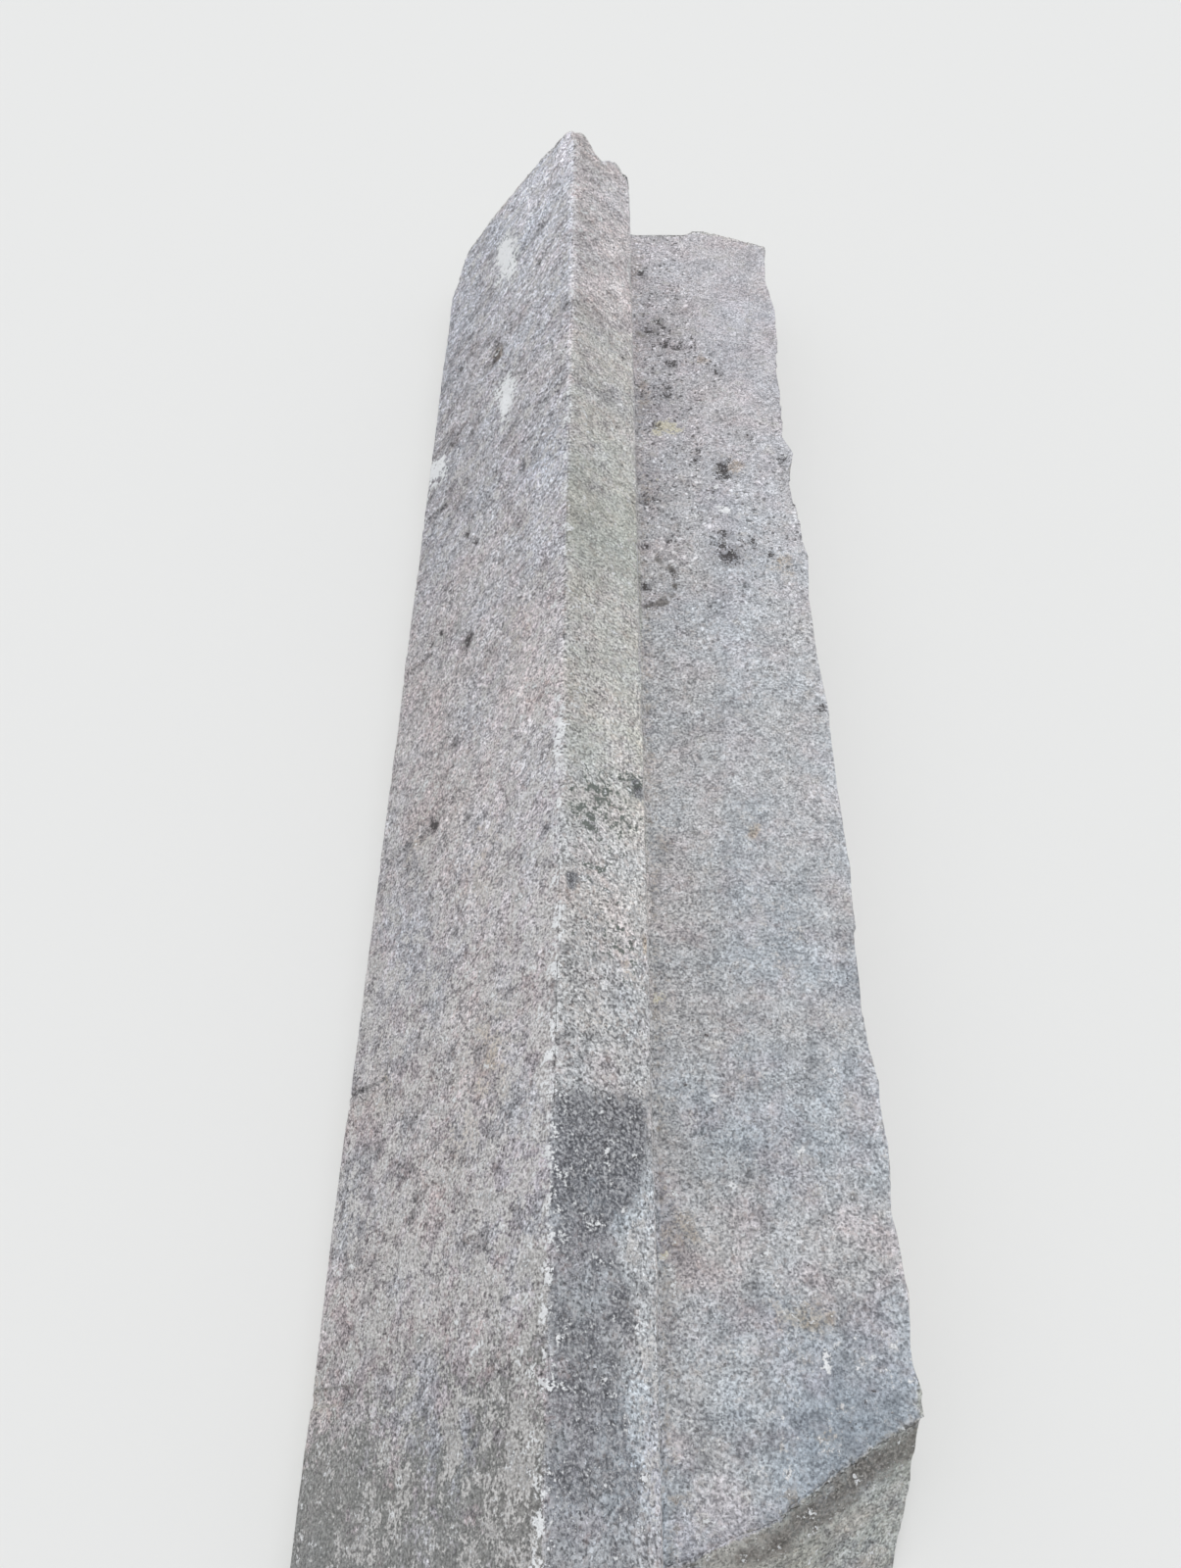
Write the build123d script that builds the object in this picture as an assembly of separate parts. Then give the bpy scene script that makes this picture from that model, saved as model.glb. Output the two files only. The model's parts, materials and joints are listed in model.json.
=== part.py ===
# A long granite kerb stone: rough sloping back, worn ridge, narrow sloping strip, upright step
# and a wide flat tread. One block, in millimetres.
# It lies along Y, with the near end at -Y and the tread on the +X side.
# While it is shaped, X is measured from the upright step and Z from the bed.
import os

from math import cos
from math import radians
from math import sin
from math import sqrt
from math import tan

from build123d import *

# Block, with its length taken along the step
length = 2180
tread_height = 152
tread_width = 266
step_height = 122
strip_width = 102
strip_rise = 70
back_angle = 49
back_width_near = 268
back_width_far = 244

# Shallow band beside the step, a little below the rest of the tread
band_depth = 3
band_width = 105
band_slope_width = 14

# Worn edges
ridge_radius = 12
strip_edge_radius = 6
step_foot_radius = 8
tread_edge_radius = 6
back_edge_radius = 9
bed_edge_radius = 5

# Split far end of the raised part, which reaches past the far end of the tread: at the ridge, at the
# back, and at the top of the bulge between them, which lies at a distance across from the step
ridge_end_reach = 31
back_end_reach = 30
far_bulge = 52
far_bulge_across = 229

# Broken corners, each as reach across the stone and reach along it
far_tread_corner = (120, 52)
far_back_corner = (28, 85)
near_tread_corner = (35, 225)

# Chip split out of the strip's far end: three places, as distance from the step and past the far end,
# and the angle at which its root runs out down the end
chip_right = (29, 0)
chip_root = (54, -36)
chip_left = (82, 18)
chip_lean = 35

# Worn far tip of the strip and ridge: how far back from the far end it starts, and its angle
tip_reach = 30
tip_angle = 13

# Broken near end of the tread: places along its top line, as distance from the step and from the near end
break_at_step = (0, 34)
break_at_bend = (114, 77)
break_at_side = (tread_width, 174)
break_lean = 35

# Hollows along the split side of the tread: distance of the middle from the near end, width and depth
side_hollows = ((640, 190, 9), (1465, 190, 11), (1725, 250, 12))

# Half-round grooves left by the splitting drill, running up the back from its lower edge
groove_radius = 8
groove_depth = 5
groove_length = 96
groove_count = 5
groove_pitch = 324
first_groove = 193

# Worked out from the sizes above
strip_height = tread_height + step_height
ridge_height = strip_height + strip_rise
back_slope = tan(radians(back_angle))
nosing_height = ridge_height - back_width_near * back_slope
near_end = -length / 2
far_end = length / 2
beyond = 100


def rounded(face, x, z, radius):
    """The face with the corner nearest to a point rounded."""
    corner = face.vertices().sort_by_distance((x, z, 0))[0]
    return fillet(corner, radius)


def section():
    """The cross-section, seen from the near end, with X from the step and Y upwards."""
    back = -strip_width - back_width_near
    band_end = band_width + band_slope_width
    band_height = tread_height - band_depth
    face = make_face(
        Polyline(
            (back, 0),
            (back, nosing_height),
            (-strip_width, ridge_height),
            (0, strip_height),
            (0, band_height),
            (band_width, band_height),
            (band_end, tread_height),
            (tread_width, tread_height),
            (tread_width, 0),
            close=True,
        )
    )
    face = rounded(face, -strip_width, ridge_height, ridge_radius)
    face = rounded(face, 0, strip_height, strip_edge_radius)
    face = rounded(face, 0, band_height, step_foot_radius)
    face = rounded(face, tread_width, tread_height, tread_edge_radius)
    face = rounded(face, tread_width, 0, bed_edge_radius)
    return face


def plan():
    """The outline seen from above: the back tapers, the far end bulges and three corners are broken off."""
    back_near = -strip_width - back_width_near
    back_far = -strip_width - back_width_far
    back_across, back_along = far_back_corner
    back_corner = back_far + (back_near - back_far) * back_along / length
    far_across, far_along = far_tread_corner
    near_across, near_along = near_tread_corner
    ridge_end = (-strip_width, far_end + ridge_end_reach)
    back_end = (back_far + back_across, far_end + back_end_reach)
    bulge_top = (-far_bulge_across, far_end + far_bulge)
    bulge = ThreePointArc(ridge_end, bulge_top, back_end)
    sides = Polyline(
        back_end,
        (back_corner, far_end - back_along),
        (back_near, near_end),
        (tread_width - near_across, near_end),
        (tread_width, near_end + near_along),
        (tread_width, far_end - far_along),
        (tread_width - far_across, far_end),
        (0, far_end),
        ridge_end,
    )
    return make_face([bulge, sides])


def side_hollow(place, width, depth):
    """An upright cylinder that takes a shallow hollow out of the side of the tread."""
    radius = (width**2 / 4 + depth**2) / (2 * depth)
    height = tread_height + beyond
    middle = Pos(tread_width - depth + radius, near_end + place, tread_height / 2)
    return middle * Cylinder(radius, height)


def side_of_step(toward_tread):
    """Everything on one side of the upright step."""
    align = Align.MIN if toward_tread else Align.MAX
    return Box(length, 2 * length, length, align=(align, Align.CENTER, Align.MIN))


def above(plane):
    """Everything on the outer side of a sloping face."""
    return plane * Box(length, length, length, align=(Align.CENTER, Align.CENTER, Align.MIN))


def break_face(start, end):
    """The waste beyond one leaning face of the broken near end, on the tread side only."""
    across = end[0] - start[0]
    along = end[1] - start[1]
    outward = tan(radians(break_lean)) * sqrt(across**2 + along**2)
    corner = (start[0], near_end + start[1], tread_height)
    face = Plane(origin=corner, x_dir=(across, along, 0), z_dir=(along, -across, outward))
    return above(face) & side_of_step(True)


def worn_tip(across, height, rise):
    """The waste above a face that leans down to the far end, starting at one place across the stone."""
    start = (across, far_end - tip_reach, height)
    lean = tan(radians(tip_angle)) * sqrt(strip_width**2 + rise**2)
    face = Plane(origin=start, x_dir=(-strip_width, 0, rise), z_dir=(rise, lean, strip_width))
    return above(face) & side_of_step(False)


def strip_point(across, past):
    """A point on the strip, at a distance from the step and past the far end."""
    return Vector(-across, far_end + past, strip_height + across * strip_rise / strip_width)


def end_chip():
    """The wedge split out of the far end of the strip, which runs out lower down the end."""
    root = strip_point(*chip_root)
    run_out = Vector(0, sin(radians(chip_lean)), -cos(radians(chip_lean)))
    right_normal = (strip_point(*chip_right) - root).cross(run_out)
    left_normal = run_out.cross(strip_point(*chip_left) - root)
    right_face = Plane(origin=root, x_dir=run_out, z_dir=right_normal)
    left_face = Plane(origin=root, x_dir=run_out, z_dir=left_normal)
    return above(right_face) & above(left_face)


def drill_groove(place):
    """A round bar that lies in the back slope and starts below its lower edge."""
    up_slope = (cos(radians(back_angle)), 0, sin(radians(back_angle)))
    out_of_slope = (-up_slope[2], 0, up_slope[0])
    run = beyond + groove_length
    foot_across = -strip_width - back_width_near
    foot = Vector(foot_across, near_end + place, nosing_height)
    centre = foot + Vector(*out_of_slope) * (groove_radius - groove_depth)
    start = centre - Vector(*up_slope) * beyond
    bar = Plane(origin=start, z_dir=up_slope)
    return bar * Cylinder(groove_radius, run, align=(Align.CENTER, Align.CENTER, Align.MIN))


def worn_back_edge(stone):
    """The stone with the lower edge of its back slope rounded."""
    across = -strip_width - (back_width_near + back_width_far) / 2
    height = ridge_height + (across + strip_width) * back_slope
    edge = stone.edges().sort_by_distance((across, 0, height))[0]
    return fillet(edge, back_edge_radius)


def kerb_stone():
    """The whole stone, with its origin under the middle of its box, on the bed."""
    bar = extrude(Plane.XZ * section(), amount=length / 2 + far_bulge, both=True)
    footprint = extrude(plan(), amount=ridge_height)
    stone = worn_back_edge(bar & footprint)
    stone -= break_face(break_at_step, break_at_bend)
    stone -= break_face(break_at_bend, break_at_side)
    stone -= worn_tip(0, strip_height, strip_rise)
    stone -= worn_tip(-strip_width, ridge_height, 0)
    stone -= end_chip()
    for place, width, depth in side_hollows:
        stone -= side_hollow(place, width, depth)
    for number in range(groove_count):
        stone -= drill_groove(first_groove + number * groove_pitch)
    box = stone.bounding_box()
    return Pos(-box.center().X, -box.center().Y, -box.min.Z) * stone


os.makedirs("parts", exist_ok=True)
export_step(kerb_stone(), "parts/kerb_stone.step")
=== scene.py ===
import json
from itertools import product
from math import atan2, cos, radians, sin

import bmesh
import bpy
import numpy as np
from mathutils import Matrix, Vector
from mathutils.bvhtree import BVHTree


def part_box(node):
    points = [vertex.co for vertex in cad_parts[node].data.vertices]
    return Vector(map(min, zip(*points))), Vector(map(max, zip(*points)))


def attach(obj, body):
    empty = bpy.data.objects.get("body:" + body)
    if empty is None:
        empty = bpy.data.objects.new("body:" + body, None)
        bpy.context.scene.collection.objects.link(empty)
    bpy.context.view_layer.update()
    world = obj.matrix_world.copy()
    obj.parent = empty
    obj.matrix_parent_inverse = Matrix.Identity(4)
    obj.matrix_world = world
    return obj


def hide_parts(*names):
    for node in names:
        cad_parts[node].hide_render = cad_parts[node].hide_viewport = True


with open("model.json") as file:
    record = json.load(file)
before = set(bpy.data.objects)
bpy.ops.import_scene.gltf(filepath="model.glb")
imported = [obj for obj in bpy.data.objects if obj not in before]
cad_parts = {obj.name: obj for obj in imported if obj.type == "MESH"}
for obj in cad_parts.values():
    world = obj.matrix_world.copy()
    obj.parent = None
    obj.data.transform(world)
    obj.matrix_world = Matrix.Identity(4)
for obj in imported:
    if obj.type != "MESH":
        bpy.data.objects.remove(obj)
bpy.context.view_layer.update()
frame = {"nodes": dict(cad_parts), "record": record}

# Lines of the stone, in millimetres, from its record and its box
mounts = {mount["name"]: mount["pos_m"] for mount in frame["record"]["mounts"]}
step_x = 1000 * mounts["step"][0]
tread_z = 1000 * mounts["tread"][2]
box_low, box_high = (1000 * np.array(corner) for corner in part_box("kerb_stone"))
tread_edge_x = box_high[0]
near_end = box_low[1]

# The ridge and the strip's edge, and where the back slope would meet the bed
ridge_x = -50
ridge_z = 344
strip_edge_z = 274
back_angle = radians(49)
back_foot_x = -349
strip_angle = atan2(ridge_z - strip_edge_z, step_x - ridge_x)
ridge_up = (ridge_x - back_foot_x) * cos(back_angle) + ridge_z * sin(back_angle)

# Top line of the tread's broken near end
break_line = (
    (step_x, near_end + 34, tread_z),
    (step_x + 114, near_end + 77, tread_z),
    (tread_edge_x, near_end + 174, tread_z),
)

# Places along the stone are measured from where the photograph's lower edge crosses it
photo_edge = -1071

# How far the tool's furrows lean towards the near end: far along the stone, near, and the finest near ones
far_slant = radians(25)
near_slant = radians(65)
near_stroke_slant = radians(68)

# The fine mesh: its voxels and how near vertices are joined, in metres, and its most triangles
voxel = 0.004
joined_within = 1e-5
most_triangles = 194000

# Floor and light, in metres
floor_half_width = 8
floor_colour = (0.80, 0.80, 0.79, 1)
sky_colour = (0.97, 0.985, 1.0, 1)
sky_strength = 0.64
sun_strength = 1.3
sun_spread = radians(25)
sun_direction = (-0.05, -0.3, -1)

# The photograph's camera: its place in metres, how far it is turned from looking straight down, and
# its lens for a sensor of 36 mm
camera_place = (-0.004, photo_edge / 1000, 1.452)
camera_tilt = radians(33.610461)
camera_pan = radians(0.452451)
sensor_width = 36
focal_length = 27.07


# Noise and other patterns in space, the same in every run

# Large odd factors that spread the cells and the seeds over 32 bits, and the shifts and factors
# that then mix those bits
axis_spread = (73856093, 19349663, 83492791)
seed_spread = 374761393
mixing = ((15, 2246822519), (13, 3266489917))
last_shift = 16
all_bits = 0xFFFFFFFF

# Further off, in cells, than any cell's middle
beyond_cells = 9.0

# How fast a spot fades: it keeps half its strength at about its half width
spot_falloff = 0.7


def random_numbers(cells, seed):
    """A repeatable number from 0 to 1 for each whole-number cell."""
    x, y, z = (cells[:, axis] * spread for axis, spread in enumerate(axis_spread))
    mixed = ((x ^ y ^ z) + seed * seed_spread) & all_bits
    for shift, factor in mixing:
        mixed = ((mixed ^ (mixed >> shift)) * factor) & all_bits
    return (mixed ^ (mixed >> last_shift)) / all_bits


def wave(points, size, seed):
    """Smooth noise from 0 to 1, with bumps of about the given size."""
    place = points / size
    cell = np.floor(place).astype(np.int64)
    part = place - cell
    part = part * part * part * (part * (part * 6 - 15) + 10)
    total = np.zeros(len(points))
    for corner in product((0, 1), repeat=3):
        share = np.prod(np.where(corner, part, 1 - part), axis=1)
        total += share * random_numbers(cell + corner, seed)
    return total


def rough(points, size, seed, octaves=3):
    """Noise from 0 to 1 made of several sizes, each half the one before."""
    total = np.zeros(len(points))
    whole = 0
    for octave in range(octaves):
        total += wave(points, size / 2**octave, seed + octave) / 2**octave
        whole += 1 / 2**octave
    return total / whole


def facets(points, size, seed):
    """Flat-sided chips, in cells of about the given size.

    Gives 0 at the middle of each cell and 1 at its rim, and the cell's number."""
    place = points / size
    home = np.floor(place).astype(np.int64)
    nearest = np.full(len(points), beyond_cells)
    second = np.full(len(points), beyond_cells)
    number = np.zeros(len(points))
    for offset in product((-1, 0, 1), repeat=3):
        cell = home + offset
        jitter = np.stack([random_numbers(cell, seed + axis) for axis in range(3)], axis=1)
        away = np.linalg.norm(cell + jitter - place, axis=1)
        closer = away < nearest
        second = np.where(closer, nearest, np.minimum(second, away))
        number = np.where(closer, random_numbers(cell, seed + 3), number)
        nearest = np.where(closer, away, nearest)
    return nearest / (nearest + second) * 2, number


def ease(value, start, end):
    """0 before the start, 1 after the end and smooth between."""
    part = np.clip((value - start) / (end - start), 0, 1)
    return part * part * (3 - 2 * part)


def between(value, start, end, soft):
    """1 between two values and 0 outside them, with soft ends."""
    return ease(value, start - soft, start + soft) * (1 - ease(value, end - soft, end + soft))


def spots(u, v, marks):
    """The strongest of several round spots, each given as its place, its half widths and its strength."""
    total = np.zeros(len(u))
    for mark_u, mark_v, half_u, half_v, strength in marks:
        away = ((u - mark_u) / half_u) ** 2 + ((v - mark_v) / half_v) ** 2
        total = np.maximum(total, strength * np.exp(-away * spot_falloff))
    return total


# Where points lie on the stone

# The way that each face looks
outward_of = {
    "back": (-sin(back_angle), 0, cos(back_angle)),
    "strip": (sin(strip_angle), 0, cos(strip_angle)),
    "tread": (0, 0, 1),
    "right": (1, 0, 0),
    "left": (-1, 0, 0),
    "far": (0, 1, 0),
    "near": (0, -1, 0),
    "bed": (0, 0, -1),
}

# How sharply one face gives way to the next, and the little that a face keeps everywhere
face_sharpness = 24
least_facing = 0.001


class Places:
    """Points of the stone in millimetres, with where they lie on its faces."""

    def __init__(self, points, solid):
        self.points = points
        self.x, self.y, self.z = points.T
        self.along = self.y - photo_edge
        self.up_back = (self.x - back_foot_x) * cos(back_angle) + self.z * sin(back_angle)
        self.down_strip = (self.x - ridge_x) * cos(strip_angle) - (self.z - ridge_z) * sin(strip_angle)
        self.normals = np.array([solid.find_nearest(point / 1000)[1] for point in points])
        shares = {face: self.facing(direction) for face, direction in outward_of.items()}
        whole = sum(shares.values())
        shares = {face: share / whole for face, share in shares.items()}
        on_ridge = shares["tread"] * (self.x < step_x - 5)
        right_of_ridge = ease(self.x, ridge_x - 8, ridge_x + 8)
        past_step = shares["strip"] * (self.x > step_x + 8)
        self.back = shares["back"] + on_ridge * (1 - right_of_ridge)
        self.strip = shares["strip"] - past_step + on_ridge * right_of_ridge
        self.tread = shares["tread"] - on_ridge
        self.bed = shares["bed"]
        self.step = shares["right"] * (self.x < step_x + 30)
        self.split = shares["left"] + shares["far"] + shares["near"] + shares["right"] - self.step + past_step
        self.up = self.back * self.up_back + self.strip * (ridge_up - self.down_strip)

    def facing(self, direction):
        """Near 1 where the solid faces this way, and near 0 where it faces another."""
        return np.clip(self.normals @ np.array(direction), least_facing, 1) ** face_sharpness

    def near_path(self, corners, reach):
        """1 on a line through several corners, falling off over a distance from it."""
        away = np.full(len(self.x), np.inf)
        for start, end in zip(corners, corners[1:]):
            start = np.array(start)
            run = np.array(end) - start
            part = np.clip((self.points - start) @ run / (run @ run), 0, 1)
            away = np.minimum(away, np.linalg.norm(self.points - start - part[:, None] * run, axis=1))
        return np.exp(-(away / reach) ** 2)

    def near_line(self, x, z, reach):
        """1 on a line along the stone, falling off over a distance from it."""
        away = (self.x - x) ** 2 + (self.z - z) ** 2
        return np.exp(-away / reach**2)

    def on_back(self, marks):
        """Spots on the back, with each place given as how far up it and how far along."""
        return self.back * spots(self.up_back, self.along, marks)

    def on_strip(self, marks):
        """Spots on the strip, with each place given as how far down it and how far along."""
        return self.strip * spots(self.down_strip, self.along, marks)

    def on_tread(self, marks):
        """Spots on the tread, with each place given as how far across and how far along."""
        return self.tread * spots(self.x, self.along, marks)


# Shape of the surface. Depths are in millimetres, into the stone.

# Right arris of the tread as seen in the photograph: place along, and place across
tread_arris = (
    (150, 313), (184, 312), (210, 317), (240, 318), (276, 317), (320, 312), (388, 319), (430, 316),
    (461, 318), (500, 311), (540, 307), (580, 307), (656, 311), (700, 315), (740, 318), (856, 315),
    (948, 316), (988, 318), (1080, 312), (1200, 311), (1280, 318), (1316, 312), (1372, 307),
    (1472, 303), (1512, 316), (1552, 303), (1588, 302), (1660, 305), (1756, 306), (1812, 316),
    (1900, 317), (1980, 308), (2040, 311),
)

# How far the side below the broken near corner stands out from the solid's corner
near_corner_bulge = 7

# Broken far edge of the raised part: place across, and how far it is moved along
far_edge = (
    (-318, 0), (-283, 8), (-266, 10), (-241, 4), (-222, 8), (-194, 6), (-165, 9), (-126, 4), (-92, 8),
    (-62, 4), (-48, 8), (-36, 24), (-26, 20), (-12, 6), (0, 6), (14, 12), (34, 14), (60, 6),
)

# Pits in the back that hold moss: up it, along, half widths and depth
back_pits = (
    (224, 921, 7, 7, 4), (210, 878, 6, 6, 3), (225, 883, 5, 5, 3), (230, 827, 6, 7, 4),
    (190, 806, 11, 13, 5), (162, 798, 6, 9, 3), (122, 795, 6, 6, 3), (268, 780, 5, 6, 3),
    (136, 765, 5, 8, 3), (156, 760, 5, 6, 3), (173, 742, 6, 6, 3), (128, 694, 6, 6, 3),
    (284, 1381, 6, 8, 4), (343, 1364, 8, 13, 5), (208, 1325, 8, 11, 5), (200, 1350, 5, 6, 3),
    (236, 1285, 6, 8, 4), (138, 1148, 6, 7, 4), (163, 1153, 6, 9, 3), (234, 1094, 12, 14, 6),
    (166, 1086, 7, 10, 4), (139, 1793, 8, 11, 5), (206, 1879, 6, 8, 3), (360, 1857, 6, 9, 4),
    (250, 1722, 15, 22, 6),
)

# Shallow bare hollows in the back, in the same terms
back_hollows = (
    (330, 1500, 6, 8, 3), (352, 980, 7, 9, 2), (300, 1230, 9, 12, 2), (180, 1560, 7, 9, 2),
    (395, 620, 8, 12, 2),
)

# Pits in the tread: across, along, half widths and depth
tread_pits = (
    (196, 1472, 11, 19, 5), (175, 1425, 5, 8, 3), (294, 1498, 6, 8, 4), (188, 1328, 9, 10, 4),
    (192, 1282, 15, 17, 5), (180, 1306, 9, 6, 4), (230, 1310, 5, 7, 3), (256, 1284, 5, 8, 3),
    (71, 2016, 8, 12, 4), (102, 1868, 9, 9, 5), (84, 1842, 12, 6, 5), (112, 1802, 7, 9, 5),
    (138, 1796, 13, 8, 5), (120, 1748, 8, 10, 4), (108, 1666, 8, 9, 4), (198, 1721, 6, 8, 3),
    (303, 992, 7, 9, 3), (256, 905, 4, 6, 2), (244, 636, 4, 5, 2), (64, 1222, 9, 7, 4),
    (100, 1320, 5, 9, 3), (66, 1306, 7, 7, 3), (150, 1500, 7, 8, 2), (90, 1590, 9, 9, 3),
    (68, 1410, 7, 12, 3), (240, 1552, 6, 9, 2), (205, 1600, 5, 7, 2),
)

# Pits in the strip: down it, along, half widths and depth
strip_pits = (
    (6, 1290, 5, 8, 3), (5, 1500, 5, 8, 3), (80, 1612, 6, 22, 3), (100, 1580, 6, 10, 3),
    (60, 1640, 6, 12, 2), (112, 772, 7, 9, 2), (20, 622, 6, 11, 2), (95, 1325, 4, 10, 2),
    (116, 1262, 5, 11, 2), (88, 1405, 4, 8, 2),
)

# The curved groove beside the step: places across and along
curved_groove = (
    (84, 1283), (97, 1270), (107, 1254), (113, 1234), (107, 1214), (96, 1199), (83, 1187), (62, 1185),
)


def rills(places, slant, seed):
    """Furrows of the pointed tool that dressed the back and the strip, 0 to 1 of their depth.

    They run down from the ridge and lean towards the near end by the slant."""
    beside = places.along * cos(slant) - places.up * sin(slant)
    with_them = places.up * cos(slant) + places.along * sin(slant)
    stretched = np.stack([beside / 14, with_them / 42, np.zeros_like(beside)], axis=1)
    return ease(wave(stretched, 1, seed), 0.5, 0.85)


def lumps(places):
    """Chips, furrows and hollows of 1 to 6 cm that dressing left, 0 to 1 of their depth."""
    chips, number = facets(places.points, 34, 11)
    scoops = (1 - chips) * ease(number, 0.35, 0.9)
    far = ease(places.along, 800, 1600)
    furrows = far * rills(places, far_slant, 25) + (1 - far) * 0.5 * rills(places, near_slant, 26)
    bumps = 0.45 * rough(places.points, 44, 23, 3)
    return bumps + 0.25 * scoops + 0.3 * furrows * (places.back + places.strip)


def in_curved_groove(places):
    """1 along the middle of the curved groove, falling off beside it."""
    corners = tuple((x, y + photo_edge, tread_z - 7) for x, y in curved_groove)
    return places.near_path(corners, 8) * np.clip(1.7 * rough(places.points, 12, 97, 2) - 0.2, 0, 1)


def wavy_plateau(places):
    """1 on the higher outer part of the tread and 0 on the band beside the step."""
    border = 158 + 26 * (rough(places.points * (0, 1, 0), 260, 41) - 0.5)
    bays = ((0, 1720, 1, 45, 48), (0, 1845, 1, 30, 14))
    border += spots(np.zeros_like(places.along), places.along, bays)
    return ease(places.x, border - 7, border + 7)


def face_depth(places):
    """How deep the surface lies below the solid's faces."""
    points = places.points
    far = ease(places.along, 600, 1700)
    lumpy = lumps(places)

    back = 3.2 * rough(points, 150, 21, 2)
    back += (4.5 + 2.8 * far) * lumpy * (0.5 + 0.5 * ease(places.up_back, 80, 260))
    back += spots(places.up_back, places.along, back_pits + back_hollows)

    strip = 1.6 * rough(points, 130, 31, 2) + (1.6 + 2.2 * far) * lumpy
    strip += 2.2 * ease(places.along, 1600, 1700) * lumpy
    strip += spots(places.down_strip, places.along, strip_pits)

    inner = 1 - wavy_plateau(places)
    tread = 1.4 * rough(points, 150, 43, 2) + (1.2 + 1.6 * far) * lumpy
    tread += inner * (1.0 + 2.4 * rough(points, 24, 47, 3))
    tread += spots(places.x, places.along, tread_pits) + 5 * in_curved_groove(places)

    step = 2.5 * rough(points, 90, 51, 2) + 1.8 * rough(points, 22, 53, 3)

    blocks, block_number = facets(points, 70, 61)
    split = 5.5 * rough(points, 120, 63, 2) + 4 * (1 - blocks) * block_number
    split += 3.2 * rough(points, 24, 65, 3)

    bed = 1.2 * rough(points, 90, 71, 2)
    depth = places.back * back + places.strip * strip + places.tread * tread + places.step * step
    return depth + places.split * split + places.bed * bed


def arris_depth(places):
    """Wear and small chips along the arrises."""
    points = places.points
    chipped, number = facets(points, 24, 81)
    chip = (1 - chipped) * ease(number, 0.45, 1)
    ridge = places.near_line(ridge_x, ridge_z - 6, 16) * (2.5 * rough(points, 40, 83, 3) + 2 * chip)
    edge = places.near_line(step_x, strip_edge_z, 11)
    edge *= 3 * rough(points, 46, 85, 3) + 5 * chip + 8 * between(places.along, 1790, 1850, 18)
    edge += 10 * places.near_line(step_x, strip_edge_z, 20) * ease(places.along, 2060, 2130)
    tread = places.near_line(tread_edge_x, tread_z, 12) * (2 * rough(points, 30, 87, 3) + 5 * chip)
    toward_side = ease(places.x, 240, 310)
    broken_end = places.near_path(break_line, 26) * (5 + 8 * rough(points, 60, 89, 3) + 4 * chip)
    broken_end *= 1 - 0.7 * toward_side
    domed = 5 * places.near_path(break_line, 75) * places.tread * (1 - toward_side)
    return ridge + edge + tread + broken_end + domed


def solid_arris(solid, along):
    """Where the solid's right side lies across, just below its arris, at several places along."""
    height = (tread_z - 12) / 1000
    starts = [Vector((1, (place + photo_edge) / 1000, height)) for place in along]
    return 1000 * np.array([solid.ray_cast(start, Vector((-1, 0, 0)))[0].x for start in starts])


def follow_outline(places, solid):
    """The points, with the tread's right arris and the raised part's far edge moved to where they broke."""
    moved = places.points.copy()
    along, across = np.array(tread_arris).T
    shift = np.interp(places.along, along, across - solid_arris(solid, along))
    shift *= ease(places.along, 120, 160) * (1 - ease(places.along, 2040, 2110))
    shift += near_corner_bulge * (1 - ease(places.along, 120, 180))
    moved[:, 0] += shift * ease(places.x, 200, 300)
    pushed = np.interp(places.x, *np.array(far_edge).T)
    moved[:, 1] += pushed * ease(places.y, 900, 1060) * (places.z > 60)
    return moved


def closed_solid(node):
    """A copy of the plain solid's mesh with its seams joined, and a tree of its faces."""
    source = bmesh.new()
    source.from_mesh(node.data)
    bmesh.ops.remove_doubles(source, verts=source.verts, dist=joined_within)
    tree = BVHTree.FromBMesh(source)
    closed = bpy.data.meshes.new("closed_solid")
    source.to_mesh(closed)
    source.free()
    return closed, tree


def apply_modifier(piece, kind, **settings):
    """Replaces the piece's mesh by what one modifier makes of it."""
    modifier = piece.modifiers.new(kind.lower(), kind)
    for name, value in settings.items():
        setattr(modifier, name, value)
    now = bpy.context.evaluated_depsgraph_get()
    made = bpy.data.meshes.new_from_object(piece.evaluated_get(now))
    piece.modifiers.clear()
    piece.data = made


def vectors_of(mesh, kind):
    """One vector for each vertex."""
    found = np.empty(3 * len(mesh.vertices), np.float32)
    mesh.vertices.foreach_get(kind, found)
    return found.reshape(-1, 3).astype(float)


def move_vertices(mesh, points):
    """Puts the vertices at points in millimetres, or as near as the solid's box lets them."""
    inside = np.clip(points, box_low, box_high) / 1000
    mesh.vertices.foreach_set("co", inside.astype(np.float32).ravel())
    mesh.update()


def detailed_mesh(node):
    """A fine mesh of the stone, worn, split and pitted, that stays inside the solid's box."""
    closed, solid = closed_solid(node)
    piece = bpy.data.objects.new("weathered_stone", closed)
    bpy.context.collection.objects.link(piece)
    apply_modifier(piece, "REMESH", mode="VOXEL", voxel_size=voxel)

    places = Places(vectors_of(piece.data, "co") * 1000, solid)
    outward = vectors_of(piece.data, "normal")
    depth = face_depth(places) + arris_depth(places)
    move_vertices(piece.data, follow_outline(places, solid) - outward * depth[:, None])

    apply_modifier(piece, "DECIMATE", ratio=most_triangles / (2 * len(piece.data.polygons)))
    move_vertices(piece.data, vectors_of(piece.data, "co") * 1000)
    piece.data.shade_smooth()
    return piece, solid


# Weathering, painted shade and painted highlight, as one number from 0 to 1 at each vertex. The material
# breaks up its borders.

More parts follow.
